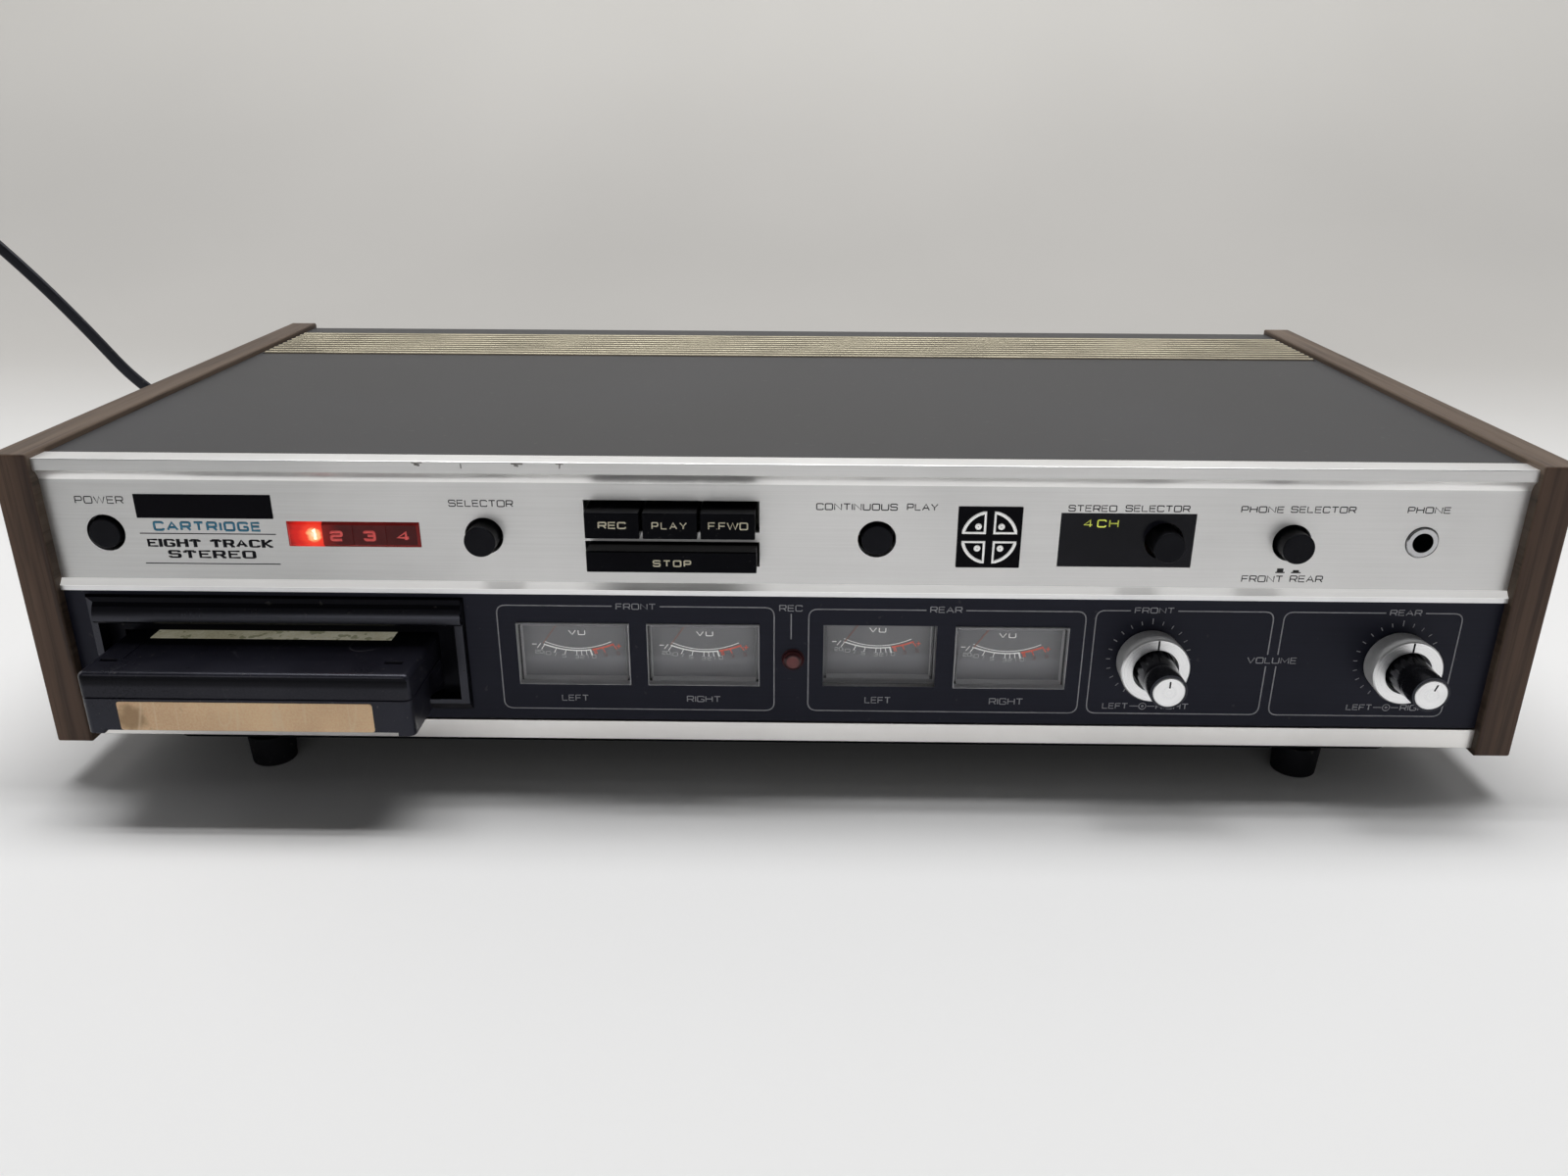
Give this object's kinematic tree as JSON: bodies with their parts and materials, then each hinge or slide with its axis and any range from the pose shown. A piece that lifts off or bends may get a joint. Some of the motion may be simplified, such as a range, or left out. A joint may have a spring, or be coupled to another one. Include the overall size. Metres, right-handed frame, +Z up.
{
  "type": "eight-track cartridge player",
  "caption": "Home cartridge tape recorder and player with wooden sides, silver and black front panels, level meters, double knobs and a cartridge in its slot.",
  "frame": {"origin": "centre of the bounding box without the mains lead, on the surface the feet stand on", "axes": "+X to the right as seen from the front, +Y from the front panel to the back, +Z up"},
  "size_m": [0.7056, 0.3393, 0.1894],
  "materials": {
    "walnut": "worn satin veneer",
    "cover_black": "matte black paint",
    "grille_gold": "satin champagne anodised",
    "pan_black": "matte black paint",
    "rubber": "matte",
    "fascia_silver": "brushed satin",
    "fascia_black": "black satin anodised, printed",
    "bezel_black": "satin black",
    "steel": "plated",
    "screw": "zinc plated",
    "red_lens": "translucent red",
    "lamp": "white holder",
    "smoke_window": "smoked",
    "chrome": "polished",
    "dial": "dark grey printed dial",
    "clear": "clear polystyrene cover",
    "needle": "painted red-orange",
    "button_black": "satin black",
    "key_black": "gloss black",
    "knob_black": "fluted black with a turned aluminium cap",
    "ring_silver": "turned, satin",
    "inner_steel": "zinc plated",
    "brass": "satin",
    "belt": "matte",
    "board": "phenolic board with components",
    "cartridge_black": "satin moulded",
    "tape": "brown tape on a white hub",
    "cord": "satin black lead"
  },
  "bodies": {
    "cabinet": {"side_panel_left": "walnut", "side_panel_right": "walnut", "top_cover": "cover_black", "vent_grille": "grille_gold", "bottom_pan": "pan_black", "rubber_feet": "rubber", "rear_panel": "pan_black", "case_screws": "screw", "upper_fascia": "fascia_silver", "lower_fascia": "fascia_black", "bottom_trim": "fascia_silver", "slot_bezel": "bezel_black", "front_subframe": "inner_steel", "program_lens": "red_lens", "program_lamps": "lamp", "stereo_window": "smoke_window", "phone_jack": "chrome", "rec_lamp": "red_lens", "vu_cases": "dial", "vu_covers": "clear", "button_switches": "inner_steel", "key_frame": "inner_steel", "potentiometers": "inner_steel", "cartridge_tray": "pan_black", "mechanism_deck": "inner_steel", "motor": "inner_steel", "drive_belt": "belt", "solenoid": "inner_steel", "transformer": "inner_steel", "amplifier_board": "board", "rca_jacks": "chrome", "cord_strain_relief": "cord", "power_cord": "cord", "power_plug": "cord"},
    "power_button": {"power_button": "button_black"},
    "selector_button": {"selector_button": "button_black"},
    "continuous_play_button": {"continuous_play_button": "button_black"},
    "stereo_selector_button": {"stereo_selector_button": "button_black"},
    "phone_selector_button": {"phone_selector_button": "button_black"},
    "rec_key": {"rec_key": "key_black"},
    "play_key": {"play_key": "key_black"},
    "fast_forward_key": {"fast_forward_key": "key_black"},
    "stop_key": {"stop_key": "key_black"},
    "volume_ring_front": {"volume_ring_front": "ring_silver"},
    "volume_knob_front": {"volume_knob_front": "knob_black"},
    "volume_ring_rear": {"volume_ring_rear": "ring_silver"},
    "volume_knob_rear": {"volume_knob_rear": "knob_black"},
    "vu_needle_front_left": {"vu_needle_front_left": "needle"},
    "vu_needle_front_right": {"vu_needle_front_right": "needle"},
    "vu_needle_rear_left": {"vu_needle_rear_left": "needle"},
    "vu_needle_rear_right": {"vu_needle_rear_right": "needle"},
    "cartridge": {"cartridge_top_shell": "cartridge_black", "cartridge_bottom_shell": "cartridge_black"},
    "cartridge_reel": {"cartridge_reel": "tape"},
    "cartridge_pinch_roller": {"cartridge_pinch_roller": "rubber"},
    "flywheel": {"flywheel": "brass"},
    "motor_pulley": {"motor_pulley": "brass"},
    "dust_flap": {"dust_flap": "pan_black"},
    "track_cam": {"track_cam": "button_black"},
    "head_carriage": {"head_carriage": "brass"}
  },
  "joints": [
    {"name": "power_press", "type": "slide", "parent": "cabinet", "child": "power_button", "axis": [0, -1, 0], "range_m": [0, 0.005]},
    {"name": "selector_press", "type": "slide", "parent": "cabinet", "child": "selector_button", "axis": [0, 1, 0], "range_m": [0, 0.005], "stiffness_N_per_m": 300, "springref_m": -0.002},
    {"name": "continuous_play_press", "type": "slide", "parent": "cabinet", "child": "continuous_play_button", "axis": [0, -1, 0], "range_m": [0, 0.005]},
    {"name": "stereo_selector_press", "type": "slide", "parent": "cabinet", "child": "stereo_selector_button", "axis": [0, 1, 0], "range_m": [0, 0.005]},
    {"name": "phone_selector_press", "type": "slide", "parent": "cabinet", "child": "phone_selector_button", "axis": [0, 1, 0], "range_m": [0, 0.005]},
    {"name": "rec_key_press", "type": "slide", "parent": "cabinet", "child": "rec_key", "axis": [0, 1, 0], "range_m": [0, 0.004]},
    {"name": "play_key_press", "type": "slide", "parent": "cabinet", "child": "play_key", "axis": [0, 1, 0], "range_m": [0, 0.004]},
    {"name": "fast_forward_key_press", "type": "slide", "parent": "cabinet", "child": "fast_forward_key", "axis": [0, 1, 0], "range_m": [0, 0.004]},
    {"name": "stop_key_press", "type": "slide", "parent": "cabinet", "child": "stop_key", "axis": [0, 1, 0], "range_m": [0, 0.004], "stiffness_N_per_m": 300, "springref_m": -0.002},
    {"name": "volume_ring_front_turn", "type": "hinge", "parent": "cabinet", "child": "volume_ring_front", "pos_m": [0.11915, -0.11, 0.0465], "axis": [0, 1, 0], "range_deg": [-150, 150]},
    {"name": "volume_knob_front_turn", "type": "hinge", "parent": "cabinet", "child": "volume_knob_front", "pos_m": [0.11915, -0.12, 0.0465], "axis": [0, 1, 0], "range_deg": [-150, 150]},
    {"name": "volume_ring_rear_turn", "type": "hinge", "parent": "cabinet", "child": "volume_ring_rear", "pos_m": [0.1986, -0.11, 0.0465], "axis": [0, 1, 0], "range_deg": [-150, 150]},
    {"name": "volume_knob_rear_turn", "type": "hinge", "parent": "cabinet", "child": "volume_knob_rear", "pos_m": [0.1986, -0.12, 0.0465], "axis": [0, 1, 0], "range_deg": [-170, 130]},
    {"name": "vu_needle_front_left_swing", "type": "hinge", "parent": "cabinet", "child": "vu_needle_front_left", "pos_m": [-0.0666, -0.098, 0.0631], "axis": [0, -1, 0], "range_deg": [0, 71], "stiffness_Nm_per_rad": 0.0001, "springref_deg": -20.05},
    {"name": "vu_needle_front_right_swing", "type": "hinge", "parent": "cabinet", "child": "vu_needle_front_right", "pos_m": [-0.0246, -0.098, 0.0631], "axis": [0, -1, 0], "range_deg": [0, 71], "stiffness_Nm_per_rad": 0.0001, "springref_deg": -20.05},
    {"name": "vu_needle_rear_left_swing", "type": "hinge", "parent": "cabinet", "child": "vu_needle_rear_left", "pos_m": [0.0324, -0.098, 0.0631], "axis": [0, -1, 0], "range_deg": [0, 71], "stiffness_Nm_per_rad": 0.0001, "springref_deg": -20.05},
    {"name": "vu_needle_rear_right_swing", "type": "hinge", "parent": "cabinet", "child": "vu_needle_rear_right", "pos_m": [0.0747, -0.098, 0.0631], "axis": [0, -1, 0], "range_deg": [0, 71], "stiffness_Nm_per_rad": 0.0001, "springref_deg": -20.05},
    {"name": "cartridge_slide", "type": "slide", "parent": "cabinet", "child": "cartridge", "axis": [0, -1, 0], "range_m": [0, 0.115]},
    {"name": "tape_reel_spin", "type": "hinge", "parent": "cartridge", "child": "cartridge_reel", "pos_m": [-0.166, -0.086, 0.038], "axis": [0, 0, 1], "continuous": true},
    {"name": "pinch_roller_spin", "type": "hinge", "parent": "cartridge", "child": "cartridge_pinch_roller", "pos_m": [-0.12775, -0.0173, 0.04], "axis": [0, 0, 1], "continuous": true},
    {"name": "flywheel_spin", "type": "hinge", "parent": "cabinet", "child": "flywheel", "pos_m": [-0.12775, -0.0025, 0.029], "axis": [0, 0, 1], "continuous": true},
    {"name": "motor_pulley_spin", "type": "hinge", "parent": "cabinet", "child": "motor_pulley", "pos_m": [-0.07, 0.03, 0.029], "axis": [0, 0, 1], "continuous": true},
    {"name": "dust_flap_swing", "type": "hinge", "parent": "cabinet", "child": "dust_flap", "pos_m": [-0.16255, -0.0994, 0.0562], "axis": [1, 0, 0], "range_deg": [0, 30]},
    {"name": "track_cam_turn", "type": "hinge", "parent": "cabinet", "child": "track_cam", "pos_m": [-0.162, 0.026, 0.032], "axis": [0, 0, 1], "range_deg": [0, 270]},
    {"name": "head_lift", "type": "slide", "parent": "cabinet", "child": "head_carriage", "axis": [0, 0, 1], "range_m": [0, 0.0024]}
  ],
  "couplings": [
    {"joint": "motor_pulley_spin", "follows": "flywheel_spin", "ratio": 5.84},
    {"joint": "tape_reel_spin", "follows": "flywheel_spin", "ratio": -0.13889},
    {"joint": "pinch_roller_spin", "follows": "flywheel_spin", "ratio": -0.20833},
    {"joint": "track_cam_turn", "follows": "head_lift", "rad_per_m": 1963.3}
  ]
}
